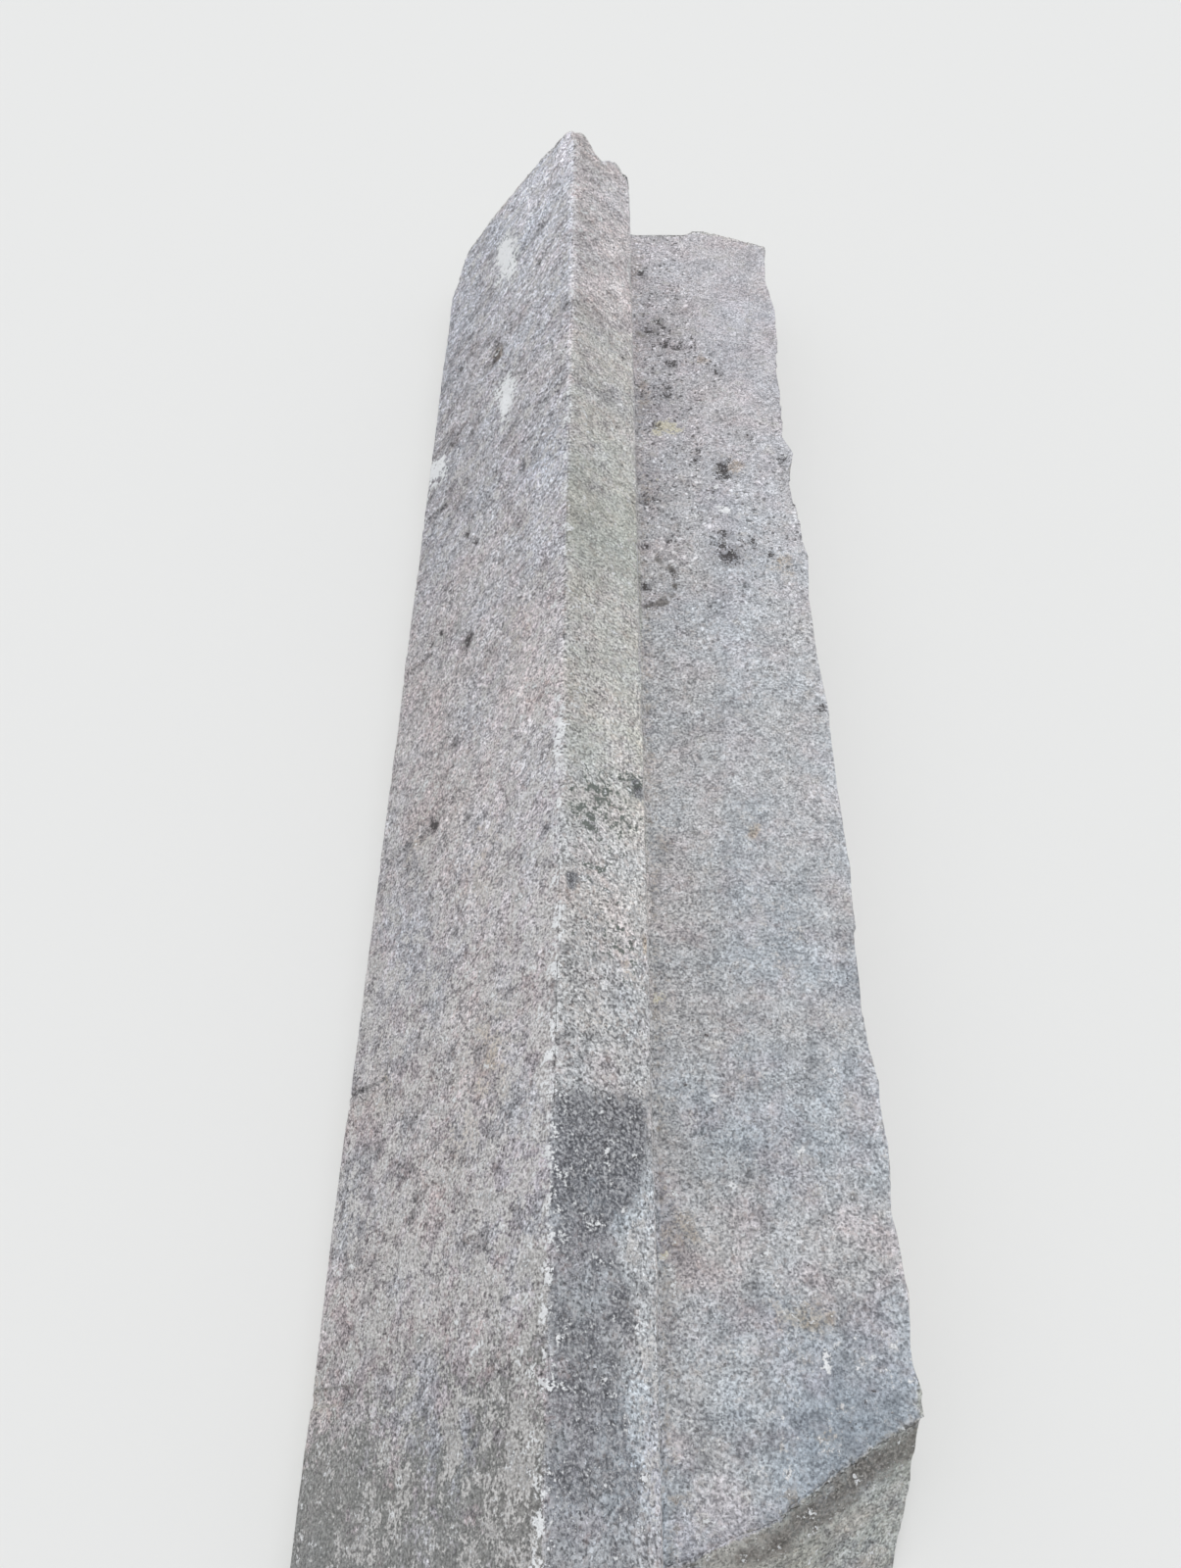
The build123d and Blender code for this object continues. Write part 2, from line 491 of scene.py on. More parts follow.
def dark_lichen(places):
    """The dark blue-grey lichen on the near part of the strip, and a few spots further along it."""
    right_along = (-60, 30, 69, 106, 144, 193, 226, 266, 286, 300, 345, 420)
    right_edge = (92, 92, 92, 84, 80, 94, 86, 68, 92, 104, 117, 118)
    inside = np.interp(places.along, right_along, right_edge) - places.down_strip
    inside = np.minimum(inside, 384 + 0.1 * places.down_strip - places.along)
    thickest = np.interp(places.along, (-20, 60, 120, 240, 282, 300), (0.42, 0.60, 0.68, 0.62, 0.78, 1.0))
    patch = places.strip * np.minimum(np.clip(0.5 + inside / 26, 0, 1), thickest)
    flecks = places.on_strip(((112, 772, 8, 11, 1.1), (20, 622, 6, 13, 0.9)))
    thin = places.on_strip(((50, 560, 30, 60, 0.30), (100, 660, 20, 30, 0.30)))
    return np.maximum.reduce([patch, flecks, thin])


def olive_flecks(places):
    """The crowded olive-grey flecks in the middle of the strip."""
    return places.on_strip((
        (66, 745, 44, 36, 0.58), (98, 785, 26, 22, 0.58), (40, 706, 32, 20, 0.56),
        (86, 716, 30, 26, 0.52), (60, 650, 50, 50, 0.37), (80, 560, 50, 60, 0.34),
    ))


def algae(places):
    """The grey-green film on the near end of the back, thickest at its lower edge and below the ridge."""
    border = 120 + 90 * np.exp(-((ridge_up - places.up_back) / 70) ** 2)
    border -= 30 * (1 - ease(places.up_back, 60, 200))
    film = 0.5 + (border - places.along) / 420
    film += 0.2 * (1 - ease(places.up_back, 90, 240)) * (1 - ease(places.along, 70, 140))
    return places.back * film


def pale_crust(places):
    """The thin beige crust in ragged islands on the back, thickest below the ridge and near the near end."""
    along = (0, 60, 160, 260, 450, 1000, 2200)
    thickness = np.interp(places.along, along, (0.36, 0.40, 0.45, 0.47, 0.42, 0.28, 0.22))
    high = 0.08 * np.exp(-((ridge_up - places.up_back) / 90) ** 2)
    low = 0.16 * (1 - ease(places.up_back, 80, 230)) * (1 - ease(places.along, 100, 400))
    strip = places.strip * (0.30 - 0.10 * ease(places.along, 400, 900))
    return places.back * (thickness + high - low) + strip + 0.16 * places.tread


def colourful(places):
    """How strongly the stone's tints vary: most on the near part."""
    return np.interp(places.along, (0, 250, 500, 900, 2000), (1.0, 0.95, 0.75, 0.6, 0.4))


def specked(places):
    """How plainly single pale and dark bits stand out of the grain: most on the far part."""
    far = ease(places.along, 700, 1500)
    worn = 1 - 0.6 * wavy_plateau(places) * ease(places.along, 1350, 1750)
    tread = places.tread * (0.3 + 0.6 * far) * worn
    return tread + places.back * (0.35 + 0.45 * far) + places.strip * (0.3 + 0.1 * far)


def cream_lichen(places):
    """The cream-yellow lichen in two rosettes on the tread and in spots beside the step."""
    return places.on_tread((
        (104, 1588, 15, 13, 1.12), (120, 1574, 10, 10, 1.05), (90, 1570, 8, 9, 1.0),
        (66, 560, 10, 9, 0.6), (60, 280, 9, 8, 0.6), (84, 1452, 8, 7, 0.55),
    ))


def evened(places):
    """How far the grain is worn even on the tread: most on its outer part, and near its broken corner."""
    veil = 0.2 + 0.1 * ease(places.along, 250, 600) * wavy_plateau(places)
    return places.tread * veil + places.on_tread(((250, 110, 70, 60, 0.25),))


def low_far_back(places):
    """1 on the lower half of the back in its far part, where it is roughest."""
    return places.back * ease(places.along, 1300, 1700) * (1 - ease(places.up_back, 170, 290))


def mottled(places):
    """How strongly the stone is mottled: most on the near part, where the crusts are thickest."""
    near = 1 - ease(places.along, 250, 1300)
    crusted = 0.4 * near * (1 - 0.6 * places.tread)
    return 0.30 + crusted - 0.1 * places.tread + 0.3 * low_far_back(places)


def clouded(places):
    """How strongly broad light and dark patches show."""
    near = 1 - ease(places.along, 300, 1200)
    back = places.back * (0.3 + 0.7 * near) + 0.3 * low_far_back(places)
    strip = places.strip * (0.8 - 0.3 * between(places.along, 480, 1150, 90))
    return back + strip + places.tread * (0.5 + 0.35 * near) + 0.8 * places.split


def grainy(places):
    """How strongly clusters of grains show."""
    far = ease(places.along, 300, 1100)
    rough_faces = (0.9 + 0.25 * far) * (places.back + places.split)
    worn = 1 - 0.4 * wavy_plateau(places) * ease(places.along, 1350, 1750)
    strip = places.strip * (0.7 - 0.25 * between(places.along, 560, 1150, 90))
    return rough_faces + strip + places.tread * (0.45 + 0.3 * far) * worn


def relief_shade(places):
    """How far to paint shade and highlight for the relief: below 0.5 where lumps stand out of the surface and
    get painted highlight, and above it in the hollows between them, which get painted shade.
    """
    far = ease(places.along, 300, 1500)
    weight = places.back * (0.5 + 0.15 * far) + places.strip * (0.25 + 0.2 * far)
    weight += places.tread * (0.5 + 0.3 * far) + 0.25 * low_far_back(places)
    return 0.5 + (lumps(places) - 0.36) * 1.6 * (weight + places.split + places.step)


def shade_and_soil(places):
    """Painted shadow, brown, below the broken arris; soil and painted shade along the step's foot; painted
    soft brown shade around the tread's clusters of pits; and darker along the curved groove.
    """
    # Painted shadow, brown, under the crest of the broken arris
    lowered = tuple((x + 4, y - 12, z - 22) for x, y, z in break_line)
    break_shadow_strength = np.interp(places.x, (60, 120, 180, 250, 290, 318), (0.35, 0.55, 0.9, 0.9, 0.6, 0.3))
    break_shadow = places.near_path(lowered, 24) * break_shadow_strength * (0.7 + 0.6 * rough(places.points, 80, 93, 2))
    # Soil and painted shade along the step's foot
    beside = places.tread * np.exp(-np.clip(places.x - step_x, 0, None) / 14)
    step_foot_soil_and_shade = beside * (0.35 + 0.5 * rough(places.points, 90, 95, 2))
    # Painted soft brown shade around the clusters of pits on the tread
    pits = places.on_tread((
        (190, 1300, 26, 34, 0.40), (190, 1474, 20, 30, 0.40), (100, 1830, 34, 40, 0.38),
        (120, 1760, 26, 40, 0.36), (86, 1234, 30, 44, 0.32),
    ))
    return np.maximum.reduce([break_shadow, step_foot_soil_and_shade, pits, 1.1 * places.tread * in_curved_groove(places)])


def white_crust(places):
    """White lichen crust: patches on the back, flecks along the ridge, and bits on the other faces."""
    patches = places.on_back((
        (252, 2022, 26, 40, 1.25), (268, 1974, 25, 48, 1.25), (280, 1930, 18, 32, 1.1),
        (294, 1566, 19, 44, 1.2), (284, 1596, 18, 24, 1.1), (264, 1608, 10, 12, 0.9),
        (100, 1556, 29, 26, 1.1), (84, 1572, 16, 25, 1.0), (118, 1536, 11, 11, 0.8),
        (76, 1506, 6, 7, 0.8),
    ))
    off_ridge = np.hypot(places.x - ridge_x, places.z - ridge_z + 6)
    beside = np.exp(-(off_ridge / 12) ** 2)
    runs = between(places.along, 296, 440, 18) * 0.46 + between(places.along, -60, 62, 12) * 0.46
    runs += between(places.along, 110, 190, 14) * 0.36 + between(places.along, 205, 290, 10) * 0.40
    runs += between(places.along, 440, 900, 40) * 0.32 + ease(places.along, 900, 1000) * 0.26
    flecks = spots(places.x, places.along, (
        (ridge_x - 4, 1410, 7, 13, 0.7), (ridge_x - 3, 1370, 5, 6, 0.6), (ridge_x - 5, 1295, 5, 8, 0.6),
        (ridge_x - 4, 1234, 5, 7, 0.5), (ridge_x - 3, 810, 5, 18, 0.5), (ridge_x - 2, 1730, 5, 9, 0.4),
        (ridge_x - 2, 1900, 5, 14, 0.4), (ridge_x - 1, 1860, 5, 8, 0.4),
    ))
    halo = np.exp(-((places.up_back - ridge_up) / 60) ** 2) * places.back
    bits = places.on_tread((
        (194, 1382, 8, 9, 1.2), (182, 1432, 4, 5, 1), (170, 1404, 6, 6, 1), (220, 175, 6, 5, 1.2),
        (128, 443, 4, 4, 0.9), (225, 366, 4, 4, 0.9), (139, 346, 4, 4, 0.9), (58, 1735, 9, 7, 0.8),
        (138, 1598, 8, 5, 0.7), (240, 330, 4, 4, 0.8),
    ))
    bits += places.on_strip(((60, 1920, 5, 7, 0.8), (112, 1830, 7, 6, 0.7)))
    crust = np.maximum.reduce([patches, beside * (runs + flecks), bits])
    return crust + 0.12 * halo * (1 - ease(places.along, 700, 1100))


def filled(pits, wider):
    """Spots of moss that fill pits, thicker in the deeper ones."""
    return tuple(
        (u, v, wider * half_u, wider * half_v, 0.30 + 0.09 * depth)
        for u, v, half_u, half_v, depth in pits
    )


def moss(places):
    """Black moss and soil that fill the pits."""
    back = places.on_back(filled(back_pits, 1.0))
    tread = places.on_tread(filled(tread_pits, 1.2))
    crowded = places.on_tread((
        (66, 1218, 12, 10, 0.52), (62, 1186, 14, 9, 0.5), (99, 1202, 12, 9, 0.46),
        (108, 1240, 10, 34, 0.34), (192, 1292, 34, 34, 0.40), (100, 1830, 44, 50, 0.36),
        (90, 1640, 40, 60, 0.30), (80, 1400, 24, 90, 0.30),
    ))
    strip = places.on_strip(filled(strip_pits, 0.8))
    return np.maximum.reduce([back, tread, crowded, strip])


def brown_stain(places):
    """Brown and rusty stains from soil and from iron in the stone, and a brown band at the step's foot that
    is partly soil and partly painted shade.
    """
    tread = places.on_tread((
        (194, 792, 9, 14, 0.9), (78, 300, 28, 26, 0.55), (206, 212, 38, 17, 0.7), (174, 1756, 14, 18, 0.6),
        (214, 1480, 20, 26, 0.6), (276, 1262, 24, 28, 0.6), (72, 780, 18, 46, 0.5), (62, 900, 14, 80, 0.45),
        (210, 108, 22, 18, 0.35), (70, 1660, 20, 70, 0.5), (176, 470, 30, 20, 0.35),
        (70, 1420, 18, 60, 0.45), (64, 1150, 14, 60, 0.4),
    ))
    strip = places.on_strip(((118, 570, 7, 14, 0.8), (60, 470, 40, 36, 0.35), (90, 540, 30, 40, 0.35)))
    back = places.on_back((
        (256, 1716, 18, 28, 0.75), (345, 440, 50, 70, 0.45), (300, 370, 40, 40, 0.4),
        (140, 470, 40, 60, 0.35), (150, 800, 40, 50, 0.4), (330, 1240, 40, 50, 0.35),
        (300, 700, 60, 100, 0.35), (360, 1050, 40, 80, 0.35),
    ))
    low = ease(-places.z, -55, -5) * 0.5
    # Browner beside the step's foot: partly soil, partly painted shade
    step_foot_soil_and_shade = places.tread * np.exp(-np.clip(places.x - step_x, 0, None) / 26) * 0.6
    return np.maximum.reduce([tread, strip, back, low * places.split, step_foot_soil_and_shade])


def olive_film(places):
    """The thin olive and yellow film on the middle of the strip, and on split faces that stay damp."""
    strip = between(places.along, 690, 1680, 70) * (0.5 + 0.3 * between(places.along, 1100, 1280, 60))
    damp = 0.5 * rough(places.points, 120, 91, 2) + 0.4 * (1 - ease(places.along, 100, 260))
    low_back = 0.3 * places.back * (1 - ease(places.up_back, 60, 160)) * (1 - ease(places.along, 700, 900))
    return places.strip * strip + places.split * damp + low_back


def far_share(places):
    """How far a point belongs to the far part, where the tool's furrows run straight down."""
    return ease(places.along, 600, 1500)


def dressed(places):
    """How plainly the tool's furrows show."""
    far = ease(places.along, 500, 1500)
    back = (0.4 + 0.2 * far) * (0.7 + 0.3 * ease(places.up_back, 100, 250))
    return places.back * back + places.strip * (0.15 + 0.25 * far)


def up_the_face(places):
    """Metres up the back and the strip."""
    return places.up / 1000


# Tint: the colour that the clean stone is multiplied by

def broad_lightness(places):
    """Lighter and darker zones: along the stone, across each face, and on the worn edges. Painted light makes
    the far part lighter; painted shade darkens the back towards its foot and the strip beside the ridge;
    painted highlights run along the ridge, the arrises and the crest of the broken arris.
    """
    # Overall lightness along the stone, with painted light that makes the far part lighter
    light = np.interp(places.along, (0, 250, 700, 1100, 1700, 2150), (1.14, 1.18, 1.23, 1.20, 1.22, 1.32))
    duller = 0.055 + 0.04 * (1 - wavy_plateau(places)) + 0.06 * between(places.along, 250, 750, 90)
    light *= 1 - places.tread * duller
    # Painted shade, darker towards the foot of the back
    low = (0.10 + 0.11 * ease(places.along, 800, 1900)) * (1 - ease(places.up_back, 120, 380))
    # The back: lighter in its far part with painted light, and darker low down with the painted shade above
    light *= 1 + places.back * (0.02 + 0.08 * ease(places.along, 1500, 2000) - low)
    # Painted shade on the strip just beside the ridge, deepest in the far part
    shaded = 0.05 + 0.08 * ease(places.along, 1400, 1900)
    light *= 1 + places.strip * ((0.05 + shaded) * ease(places.down_strip, 10, 90) - shaded)
    light *= 1 - 0.10 * places.split
    # Lighter along the strip's edge and the tread's right arris: partly wear, partly painted highlight
    worn_and_highlit_edges = places.near_line(step_x, strip_edge_z, 9) + places.near_line(tread_edge_x - 5, tread_z, 9)
    # Painted highlight along the ridge, brightest in its far part
    ridge_highlight = places.near_line(ridge_x - 1, ridge_z - 7, 8)
    far_ridge_highlight = 0.06 + 0.06 * ease(places.along, 250, 500) + 0.34 * between(places.along, 1440, 2000, 60)
    light *= 1 + 0.15 * worn_and_highlit_edges + ridge_highlight * far_ridge_highlight
    # Painted highlight on the crest of the broken arris
    return light * (1 + 0.12 * places.near_path(break_line, 9))


def local_lightness(places):
    """Single lighter and darker places on the tread, the back and the strip."""
    light = 1 - places.on_tread((
        (242, 125, 90, 76, 0.25), (200, 214, 46, 14, 0.14), (66, 250, 16, 120, 0.08),
        (84, 1700, 30, 240, 0.09),
    ))
    light *= 1 + places.on_tread(((110, 110, 60, 110, 0.2), (250, 1250, 70, 180, 0.05)))
    light *= 1 + places.on_back((
        (ridge_up - 40, 750, 60, 200, 0.10), (ridge_up - 60, 2110, 90, 50, 0.26),
        (ridge_up - 50, 1260, 50, 160, 0.04), (170, 1960, 60, 120, 0.03),
        (ridge_up - 60, 740, 120, 170, 0.08),
    ))
    light *= 1 - 0.10 * places.on_back(((160, 765, 46, 60, 1), (ridge_up - 70, 150, 70, 100, 0.5)))
    light *= 1 + places.on_strip((
        (100, 750, 40, 170, 0.15), (112, 1250, 26, 200, 0.05), (80, 1600, 60, 120, 0.04),
    ))
    return light * (1 - places.on_strip(((40, 2090, 34, 40, 0.12), (20, 1250, 20, 150, 0.06))))


def coolness(places):
    """How far the tint turns from red to blue."""
    cool = np.interp(places.along, (0, 400, 1000, 2000), (0.045, 0.045, 0.03, 0.015))
    cool *= places.tread * (0.8 + 0.2 * wavy_plateau(places))
    cool += 0.05 * places.on_tread(((242, 125, 90, 76, 1),))
    cool += places.on_back((
        (ridge_up - 50, 1260, 55, 180, 0.035), (130, 640, 60, 90, 0.03), (150, 1420, 60, 110, 0.02),
        (130, 1900, 90, 150, 0.03),
    ))
    strip = np.interp(places.along, (0, 300, 700, 1600, 2000), (0.07, 0.04, -0.01, 0, -0.005))
    back = np.interp(places.along, (0, 600, 1500, 2100), (0.01, 0, 0.035, 0.06))
    return cool + places.strip * strip + places.back * back


def tint(places):
    """The tint: lighter and darker zones, cool, warm and rosy ones."""
    light = broad_lightness(places) * local_lightness(places)
    cool = coolness(places)
    warm = places.on_back((
        (150, 1080, 70, 200, 1), (ridge_up - 50, 880, 60, 120, 0.9), (170, 380, 70, 90, 0.8),
        (200, 1760, 60, 120, 0.7),
    ))
    rosy = places.strip * ease(places.along, 1200, 1700) + places.tread * ease(places.along, 900, 1900)
    rosy += places.back
    red = light * (1 - 0.9 * cool + 0.018 * rosy + 0.022 * warm)
    green = light * (1 - 0.014 * rosy - 0.004 * warm)
    blue = light * (1 + cool + 0.01 * rosy - 0.022 * warm)
    return np.stack([red, green, blue, np.ones_like(light)], axis=1)


def paint(piece, solid):
    """Writes the weathering and the painted shade and highlight to the mesh, for the material."""
    places = Places(vectors_of(piece.data, "co") * 1000, solid)
    numbers = (
        dark_lichen, olive_flecks, colourful, specked, algae, pale_crust, white_crust, cream_lichen,
        moss, shade_and_soil, brown_stain, olive_film, evened, mottled, clouded, grainy, relief_shade, far_share,
        dressed, up_the_face,
    )
    for make in numbers:
        layer = piece.data.attributes.new(make.__name__, "FLOAT", "POINT")
        layer.data.foreach_set("value", make(places).astype(np.float32))
    layer = piece.data.attributes.new("tint", "FLOAT_COLOR", "POINT")
    layer.data.foreach_set("color", tint(places).astype(np.float32).ravel())


# Materials

class Graph:
    """Short calls that build one material's nodes."""

    def __init__(self, name):
        self.material = bpy.data.materials.new(name)
        self.material.use_nodes = True
        self.tree = self.material.node_tree
        self.tree.nodes.clear()

    def node(self, kind, inputs=(), **settings):
        """Adds a node. Each input is a socket to link or a value to set."""
        made = self.tree.nodes.new(kind)
        for name, value in settings.items():
            setattr(made, name, value)
        for key, value in dict(inputs).items():
            if isinstance(value, bpy.types.NodeSocket):
                self.tree.links.new(value, made.inputs[key])
            else:
                made.inputs[key].default_value = value
        return made

    def attribute(self, name, output="Fac"):
        """What paint wrote to the mesh under this name."""
        return self.node("ShaderNodeAttribute", attribute_name=name).outputs[output]

    def math(self, operation, first, second=0.0, third=0.0):
        """One sum, difference, product or product and sum."""
        return self.node("ShaderNodeMath", {0: first, 1: second, 2: third}, operation=operation).outputs[0]

    def noise(self, where, scale, detail=3.0, roughness=0.55):
        """Noise from 0 to 1."""
        inputs = {"Vector": where, "Scale": scale, "Detail": detail, "Roughness": roughness}
        return self.node("ShaderNodeTexNoise", inputs).outputs["Fac"]

    def step(self, value, low, high, start=0.0, end=1.0):
        """Maps low to high smoothly onto start to end."""
        inputs = {"Value": value, "From Min": low, "From Max": high, "To Min": start, "To Max": end}
        return self.node("ShaderNodeMapRange", inputs, interpolation_type="SMOOTHSTEP").outputs["Result"]

    def mix(self, factor, first, second, blend="MIX"):
        """The first colour where the factor is 0, and the second where it is 1."""
        inputs = {0: factor, 6: first, 7: second}
        return self.node("ShaderNodeMix", inputs, data_type="RGBA", blend_type=blend).outputs[2]

    def multiply(self, first, second):
        """One colour times another."""
        return self.mix(1.0, first, second, "MULTIPLY")

    def shade(self, colour, strength, tone):
        """The colour times a tone, as strongly as an attribute says."""
        return self.multiply(colour, self.mix(self.attribute(strength), (1, 1, 1, 1), tone))

    def over(self, colour, cover, strength, top):
        """The colour under a layer, as far as its cover and its strength hide it."""
        return self.mix(self.math("MULTIPLY", cover, strength), colour, top)

    def ramp(self, value, stops):
        """A colour for each number, from stops of a place and a colour or a grey."""
        made = self.node("ShaderNodeValToRGB", {"Fac": value})
        elements = made.color_ramp.elements
        while len(elements) < len(stops):
            elements.new(0.5)
        for element, (place, colour) in zip(elements, stops):
            element.position = place
            element.color = (*colour, 1) if isinstance(colour, tuple) else (colour, colour, colour, 1)
        return made.outputs["Color"]


# Noises that several layers of the stone share, each with its scale, detail and roughness
shared_noises = {
    "wide": (7, 3, 0.55),
    "blotch": (24, 5, 0.6),
    "ragged": (28, 10, 0.72),
    "torn": (48, 8, 0.72),
    "patchy": (100, 4, 0.6),
    "pepper": (310, 3, 0.65),
    "fine": (700, 2, 0.6),
}


class StoneGraph(Graph):
    """The stone's own nodes, with the place on it and the noises that its layers share."""

    def __init__(self, name):
        super().__init__(name)
        self.where = self.node("ShaderNodeTexCoord").outputs["Object"]
        self.noises = {kind: self.noise(self.where, *settings) for kind, settings in shared_noises.items()}

    def grains(self, scale):
        """A number from 0 to 1 for each grain."""
        cells = self.node("ShaderNodeTexVoronoi", {"Vector": self.where, "Scale": scale})
        return self.node("ShaderNodeSeparateColor", {"Color": cells.outputs["Color"]}).outputs[0]

    def toned_by(self, noise, stops):
        """A tone for each number of a shared noise."""
        return self.ramp(self.noises[noise], stops)

    def broken(self, name, shares, low, high):
        """A weathering layer from 0 to 1, with its border broken up by shared noises, each with its share."""
        value = self.attribute(name)
        for noise, share in shares.items():
            centred = self.math("SUBTRACT", self.noises[noise], 0.5)
            value = self.math("MULTIPLY_ADD", centred, share, value)
        return self.step(value, low, high)

    def strokes(self, slant, width, length):
        """Noise drawn out into strokes that run down from the ridge and lean towards the near end."""
        up = self.attribute("up_the_face")
        along = self.node("ShaderNodeSeparateXYZ", {0: self.where}).outputs["Y"]
        beside = self.math("MULTIPLY", along, cos(slant) / width)
        beside = self.math("MULTIPLY_ADD", up, -sin(slant) / width, beside)
        with_them = self.math("MULTIPLY", up, cos(slant) / length)
        with_them = self.math("MULTIPLY_ADD", along, sin(slant) / length, with_them)
        drawn = self.node("ShaderNodeCombineXYZ", {"X": beside, "Y": with_them}).outputs[0]
        return self.noise(drawn, 1.0, 3, 0.6)


def granite(graph):
    """Grains of the clean granite: grey quartz, pale feldspar, and specks of dark mica."""
    colour = graph.toned_by("pepper", (
        (0.34, (0.165, 0.163, 0.166)), (0.43, (0.345, 0.340, 0.343)), (0.50, (0.49, 0.481, 0.481)),
        (0.57, (0.61, 0.60, 0.596)), (0.67, (0.85, 0.835, 0.825)),
    ))
    grain = graph.ramp(graph.grains(330), ((0.0, 0.74), (0.5, 1.0), (1.0, 1.22)))
    colour = graph.multiply(colour, grain)
    mica = graph.step(graph.grains(460), 0.12, 0.15, 0.75, 0.0)
    colour = graph.mix(mica, colour, (0.12, 0.118, 0.116, 1))
    spark = graph.step(graph.grains(380), 0.92, 0.95, 0.0, 0.6)
    colour = graph.mix(spark, colour, (0.86, 0.855, 0.865, 1))
    salmon = graph.step(graph.grains(190), 0.87, 0.91, 0.0, 0.2)
    colour = graph.mix(salmon, colour, (0.56, 0.45, 0.40, 1))
    colour = graph.mix(graph.attribute("evened"), colour, (0.465, 0.47, 0.485, 1))
    bit = graph.grains(240)
    plainly = graph.attribute("specked")
    colour = graph.over(colour, graph.step(bit, 0.955, 0.965), plainly, (0.83, 0.825, 0.83, 1))
    return graph.over(colour, graph.step(bit, 0.05, 0.04), plainly, (0.13, 0.128, 0.126, 1))


def toned(graph, colour):
    """The colour with broad changes of tone and tint over the stone, and with painted shade in the hollows
    between lumps and painted highlight on the lumps.
    """
    cool_and_warm = graph.toned_by("wide", (
        (0.35, (0.95, 0.995, 1.035)), (0.5, 1.0), (0.65, (1.05, 1.0, 0.965)),
    ))
    rosy_and_green = graph.ramp(graph.noise(graph.where, 19, 3), (
        (0.38, (0.985, 1.0, 1.0)), (0.5, 1.0), (0.62, (1.04, 0.98, 0.985)),
    ))
    mottling = graph.toned_by("torn", (
        (0.36, (0.66, 0.655, 0.66)), (0.5, 1.0), (0.62, (1.25, 1.245, 1.235)),
    ))
    clouds = graph.toned_by("blotch", (
        (0.34, (0.77, 0.775, 0.785)), (0.5, 1.0), (0.66, (1.20, 1.185, 1.175)),
    ))
    clusters = graph.toned_by("patchy", (
        (0.36, (0.70, 0.698, 0.702)), (0.5, 1.0), (0.64, (1.28, 1.275, 1.27)),
    ))
    drawn_out = graph.node("ShaderNodeMapping", {"Vector": graph.where, "Scale": (30, 3.2, 30)}).outputs[0]
    bands = graph.ramp(graph.noise(drawn_out, 1, 4, 0.6), (
        (0.38, (0.93, 0.92, 0.92)), (0.5, 1.0), (0.62, (1.06, 1.065, 1.07)),
    ))
    colour = graph.shade(colour, "colourful", graph.multiply(cool_and_warm, rosy_and_green))
    colour = graph.shade(colour, "mottled", mottling)
    colour = graph.shade(colour, "clouded", clouds)
    colour = graph.shade(colour, "grainy", clusters)
    colour = graph.shade(colour, "dressed", bands)
    # Painted shade in the hollows between lumps and painted highlight on the lumps
    painted_relief_shade = graph.ramp(graph.attribute("relief_shade"), (
        (0.15, (1.17, 1.18, 1.19)), (0.5, 1.0), (0.85, (0.66, 0.645, 0.635)),
    ))
    colour = graph.multiply(colour, painted_relief_shade)
    return graph.multiply(colour, graph.attribute("tint", "Color"))


def tooled(graph, colour):
    """The colour with the tool's strokes, painted as shade in their furrows and highlight between them, and
    how deep they are.

    They run straight down in the far part, and nearly along the stone in the near part."""
    down = graph.strokes(far_slant, 0.0065, 0.026)
    along = graph.strokes(near_stroke_slant, 0.0075, 0.036)
    lines = graph.mix(graph.attribute("far_share"), along, down)
    depth = graph.math("MULTIPLY", graph.step(lines, 0.50, 0.36), graph.attribute("dressed"))
    # Painted shade in the furrows of the strokes and painted highlight between them
    tone = graph.ramp(lines, ((0.36, (0.58, 0.565, 0.56)), (0.47, 1.0), (0.64, (1.18, 1.185, 1.19))))
    return graph.shade(colour, "dressed", tone), depth


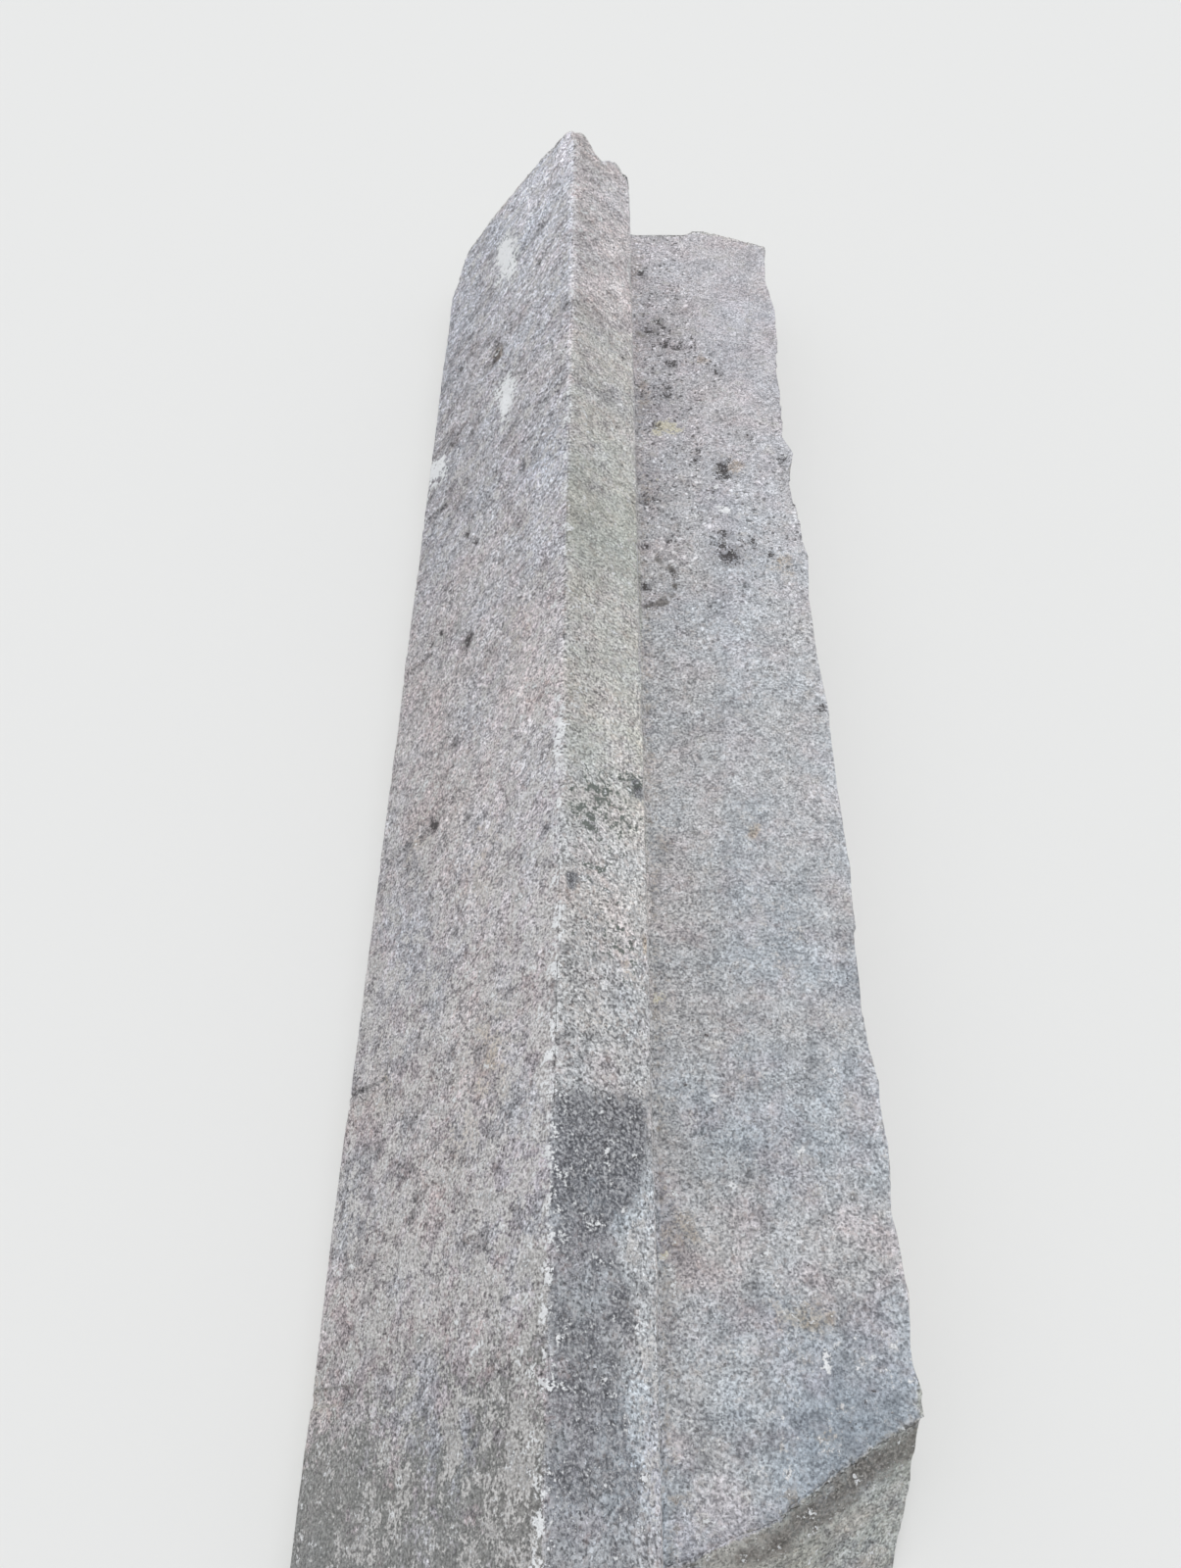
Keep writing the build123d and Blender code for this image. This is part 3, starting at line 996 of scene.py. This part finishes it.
def overgrown(graph, colour):
    """The colour under films, crusts, lichens, stains, soil, painted shade and moss, and how far three of
    them cover it.
    """
    film = graph.broken("olive_film", {"blotch": 1.2, "patchy": 0.8}, 0.2, 0.8)
    olive = graph.mix(0.3, graph.multiply(colour, (0.90, 0.925, 0.87, 1)), (0.42, 0.43, 0.385, 1))
    colour = graph.mix(film, colour, olive)

    green = graph.broken("algae", {"ragged": 2.4, "torn": 2.2}, 0.42, 0.58)
    green_colour = graph.toned_by("pepper", (
        (0.34, (0.145, 0.148, 0.143)), (0.50, (0.255, 0.26, 0.25)), (0.66, (0.40, 0.405, 0.39)),
    ))
    colour = graph.over(colour, green, 0.84, green_colour)

    beige_shares = {"blotch": 0.8, "ragged": 1.8, "torn": 2.2, "pepper": 1.0}
    crusted = graph.broken("pale_crust", beige_shares, 0.46, 0.54)
    beige = graph.toned_by("pepper", (
        (0.39, (0.37, 0.357, 0.352)), (0.50, (0.62, 0.602, 0.595)), (0.61, (0.87, 0.85, 0.84)),
    ))
    colour = graph.over(colour, crusted, 0.74, beige)

    dark_shares = {"blotch": 1.2, "torn": 2.4, "patchy": 1.0, "pepper": 2.0}
    dark = graph.broken("dark_lichen", dark_shares, 0.46, 0.54)
    dark_colour = graph.toned_by("pepper", (
        (0.38, (0.07, 0.072, 0.082)), (0.50, (0.205, 0.209, 0.23)), (0.62, (0.52, 0.525, 0.55)),
    ))
    colour = graph.over(colour, dark, 0.9, dark_colour)
    flecked = graph.broken("olive_flecks", {"patchy": 2.4, "torn": 0.8}, 0.51, 0.57)
    colour = graph.over(colour, flecked, 0.92, (0.155, 0.175, 0.16, 1))

    stain = graph.broken("brown_stain", {"torn": 1.6, "pepper": 0.8}, 0.3, 0.75)
    colour = graph.over(colour, stain, 0.8, graph.multiply(colour, (0.80, 0.68, 0.54, 1)))

    rosette = graph.broken("cream_lichen", {"torn": 2.2, "patchy": 2.2, "pepper": 1.2}, 0.48, 0.55)
    cream = graph.toned_by("pepper", (
        (0.38, (0.44, 0.40, 0.31)), (0.50, (0.72, 0.68, 0.53)), (0.62, (0.88, 0.85, 0.74)),
    ))
    colour = graph.over(colour, rosette, 0.85, cream)

    # Soil and painted shade: a brown shadow below the broken arris, shade at the step's foot and around the
    # pits, and the darker curved groove
    shade_and_soil_cover = graph.broken("shade_and_soil", {"torn": 1.4, "blotch": 1.2, "pepper": 1.4}, 0.34, 0.74)
    shade_and_soil_colour = graph.toned_by("pepper", (
        (0.38, (0.085, 0.078, 0.072)), (0.50, (0.165, 0.153, 0.142)), (0.62, (0.33, 0.31, 0.29)),
    ))
    colour = graph.over(colour, shade_and_soil_cover, 0.88, shade_and_soil_colour)

    black = graph.broken("moss", {"pepper": 2.4, "patchy": 2.4}, 0.52, 0.56)
    mossy = graph.toned_by("fine", ((0.35, (0.035, 0.032, 0.034)), (0.65, (0.12, 0.11, 0.11))))
    colour = graph.over(colour, black, 0.95, mossy)

    white = graph.broken("white_crust", {"patchy": 2.2, "pepper": 2.0, "torn": 2.8}, 0.50, 0.57)
    crust = graph.toned_by("fine", ((0.3, (0.90, 0.91, 0.93)), (0.7, (0.975, 0.985, 1.0))))
    return graph.mix(white, colour, crust), crusted, white, black


def relief(graph, stroke_depth, crusted, white, black):
    """Grains that stand out of the surface, small hollows, strokes and thin crusts."""
    height = graph.math("MULTIPLY", graph.noises["pepper"], 1.2)
    raised = (
        (graph.noises["fine"], 0.4), (graph.noises["patchy"], 1.6), (graph.noises["torn"], 1.6),
        (stroke_depth, -0.8), (crusted, 0.2), (white, 0.3), (black, -0.5),
    )
    for pattern, share in raised:
        height = graph.math("MULTIPLY_ADD", pattern, share, height)
    bump = graph.node("ShaderNodeBump", {"Strength": 0.8, "Distance": 0.0025, "Height": height})
    return bump.outputs["Normal"]


def stone_material():
    """Speckled grey granite under its weathering."""
    graph = StoneGraph("weathered_granite")
    colour = toned(graph, granite(graph))
    colour, stroke_depth = tooled(graph, colour)
    colour, crusted, white, black = overgrown(graph, colour)
    shader = graph.node("ShaderNodeBsdfPrincipled", {
        "Base Color": colour,
        "Roughness": graph.step(graph.noises["pepper"], 0.3, 0.7, 0.95, 0.78),
        "Normal": relief(graph, stroke_depth, crusted, white, black),
        "Specular IOR Level": 0.3,
    })
    graph.node("ShaderNodeOutputMaterial", {"Surface": shader.outputs[0]})
    return graph.material


def floor_material():
    """A plain pale floor."""
    graph = Graph("pale_floor")
    shader = graph.node("ShaderNodeBsdfPrincipled", {"Base Color": floor_colour, "Roughness": 0.95})
    graph.node("ShaderNodeOutputMaterial", {"Surface": shader.outputs[0]})
    return graph.material


# Floor, light and camera

def pale_floor():
    """A square floor that the stone lies on."""
    mesh = bpy.data.meshes.new("floor")
    sides = ((-1, -1), (1, -1), (1, 1), (-1, 1))
    corners = [(x * floor_half_width, y * floor_half_width, 0) for x, y in sides]
    mesh.from_pydata(corners, [], [(0, 1, 2, 3)])
    mesh.materials.append(floor_material())
    floor = bpy.data.objects.new("floor", mesh)
    bpy.context.collection.objects.link(floor)


def soft_light():
    """An even pale sky and one broad soft sun high above the stone."""
    world = bpy.data.worlds.new("pale_sky")
    world.use_nodes = True
    background = world.node_tree.nodes["Background"]
    background.inputs["Color"].default_value = sky_colour
    background.inputs["Strength"].default_value = sky_strength
    bpy.context.scene.world = world
    sun = bpy.data.lights.new("soft_sun", "SUN")
    sun.energy = sun_strength
    sun.angle = sun_spread
    holder = bpy.data.objects.new("soft_sun", sun)
    holder.rotation_euler = Vector(sun_direction).to_track_quat("-Z", "Y").to_euler()
    bpy.context.collection.objects.link(holder)


def photo_camera():
    """The photograph's view: standing at the near end, looking down along the stone."""
    camera = bpy.data.cameras.new("photo_camera")
    camera.sensor_width = sensor_width
    camera.lens = focal_length
    holder = bpy.data.objects.new("photo_camera", camera)
    turn = Matrix.Rotation(camera_tilt, 4, "X") @ Matrix.Rotation(camera_pan, 4, "Y")
    holder.matrix_world = Matrix.Translation(camera_place) @ turn
    bpy.context.collection.objects.link(holder)
    bpy.context.scene.camera = holder


# The stone and what is around it

stone, solid_tree = detailed_mesh(frame["nodes"]["kerb_stone"])
paint(stone, solid_tree)
stone.data.materials.clear()
stone.data.materials.append(stone_material())
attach(stone, "root")
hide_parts("kerb_stone")

pale_floor()
soft_light()
photo_camera()
bpy.context.scene.view_settings.view_transform = "Standard"
